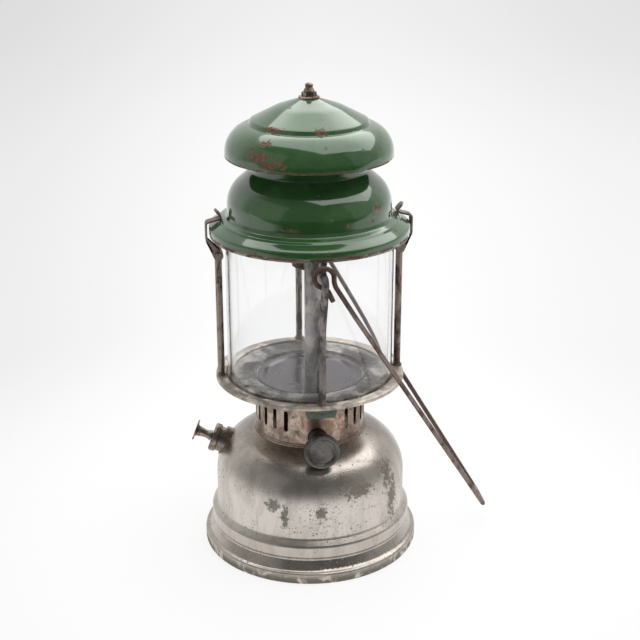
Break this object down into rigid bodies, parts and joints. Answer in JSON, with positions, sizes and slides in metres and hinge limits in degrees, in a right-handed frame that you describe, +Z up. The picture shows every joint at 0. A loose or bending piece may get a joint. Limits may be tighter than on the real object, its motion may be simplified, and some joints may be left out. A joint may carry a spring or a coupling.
{
  "type": "kerosene pressure lantern",
  "caption": "Kerosene pressure lantern: metal fuel tank with hand pump, valve and burner, glass globe in a wire cage, enamelled hood and cap, swinging carrying bail.",
  "frame": {"origin": "centre of the tank's foot, on the surface it stands on", "axes": "+Z up along the lantern's axis, -Y the side of the valve knob, -X the side of the pump, +X the side to which the bail hangs"},
  "size_m": [0.2294, 0.1696, 0.3546],
  "materials": {
    "nickel": "worn nickel plate, dull and pitted",
    "old_brass": "tarnished",
    "verdigris_brass": "brown with green corrosion",
    "copper_collar": "brown patina",
    "gallery_steel": "stained plate round a polished disc",
    "old_steel": "brown, lightly rusted",
    "bail_wire": "rusty red-brown",
    "generator": "heat-tinted grey",
    "green_enamel": "glossy vitreous enamel, chipped",
    "leather": "oiled",
    "seal": "matt",
    "glass": "clear, smoke-stained",
    "ceramic": "matt ceramic"
  },
  "bodies": {
    "lantern": {"fount_shell": "nickel", "fount_pan": "nickel", "pump_cap": "nickel", "pump_neck": "nickel", "collar_ring": "nickel", "valve_boss": "old_brass", "pickup_tube": "old_brass", "filler_bush": "old_brass", "pump_barrel": "old_brass", "check_body": "old_brass", "valve_body": "old_brass", "gland_nut": "old_brass", "jet": "old_brass", "burner_head": "old_brass", "front_cup": "verdigris_brass", "burner_collar": "copper_collar", "gallery_plate": "gallery_steel", "gallery_disc": "gallery_steel", "upright_right": "old_steel", "upright_left": "old_steel", "upright_front": "old_steel", "upright_rear": "old_steel", "upright_eyelets": "old_steel", "cage_ring": "old_steel", "clip_rivets": "old_steel", "cap_bridge": "old_steel", "cap_stud": "old_steel", "cap_spacer": "old_steel", "finial_washer": "old_steel", "finial_nut": "old_steel", "check_spring": "old_steel", "generator_tube": "generator", "mixing_elbow": "generator", "hood": "green_enamel", "top_cap": "green_enamel", "globe": "glass", "burner_nozzle": "ceramic"},
    "pump_plunger": {"pump_knob": "nickel", "pump_rod": "old_brass", "pump_washer": "old_brass", "pump_leather": "leather", "pump_nut": "old_brass"},
    "valve": {"valve_spindle": "verdigris_brass", "valve_knob": "verdigris_brass"},
    "pricker": {"pricker_rod": "old_steel"},
    "clip_right": {"clip_right": "old_steel"},
    "clip_left": {"clip_left": "old_steel"},
    "filler_seal": {"filler_gasket": "seal"},
    "filler_cap": {"filler_cap": "nickel"},
    "check_valve": {"check_pip": "old_brass"},
    "bail": {"bail": "bail_wire"}
  },
  "joints": [
    {"name": "pump_stroke", "type": "slide", "parent": "lantern", "child": "pump_plunger", "axis": [-0.9174, 0.2034, 0.342], "range_m": [0, 0.042]},
    {"name": "valve_turn", "type": "hinge", "parent": "lantern", "child": "valve", "pos_m": [0, -0.05, 0.1002], "axis": [0, -1, 0], "range_deg": [0, 180]},
    {"name": "pricker_lift", "type": "slide", "parent": "lantern", "child": "pricker", "axis": [0, 0, 1], "range_m": [0, 0.004]},
    {"name": "clip_right_swing", "type": "hinge", "parent": "lantern", "child": "clip_right", "pos_m": [0.0668, 0, 0.2315], "axis": [0, 1, 0], "range_deg": [0, 45]},
    {"name": "clip_left_swing", "type": "hinge", "parent": "lantern", "child": "clip_left", "pos_m": [-0.0668, 0, 0.2315], "axis": [0, -1, 0], "range_deg": [0, 45]},
    {"name": "filler_rise", "type": "slide", "parent": "lantern", "child": "filler_seal", "axis": [0, 0.5299, 0.848], "range_m": [0, 0.0045]},
    {"name": "filler_turn", "type": "hinge", "parent": "filler_seal", "child": "filler_cap", "pos_m": [0, 0.056, 0.0857], "axis": [0, 0.5299, 0.848], "range_deg": [0, 1080]},
    {"name": "check_travel", "type": "slide", "parent": "lantern", "child": "check_valve", "axis": [0.9174, -0.2034, -0.342], "range_m": [0, 0.001], "stiffness_N_per_m": 100, "springref_m": -0.001, "deforming": ["check_spring"]},
    {"name": "bail_swing", "type": "hinge", "parent": "lantern", "child": "bail", "pos_m": [0, 0, 0.236], "axis": [0, -1, 0], "range_deg": [0, 280]}
  ],
  "couplings": [
    {"joint": "pricker_lift", "follows": "valve_turn", "m_per_rad": 0.0012732},
    {"joint": "filler_turn", "follows": "filler_rise", "rad_per_m": 4188.8}
  ]
}
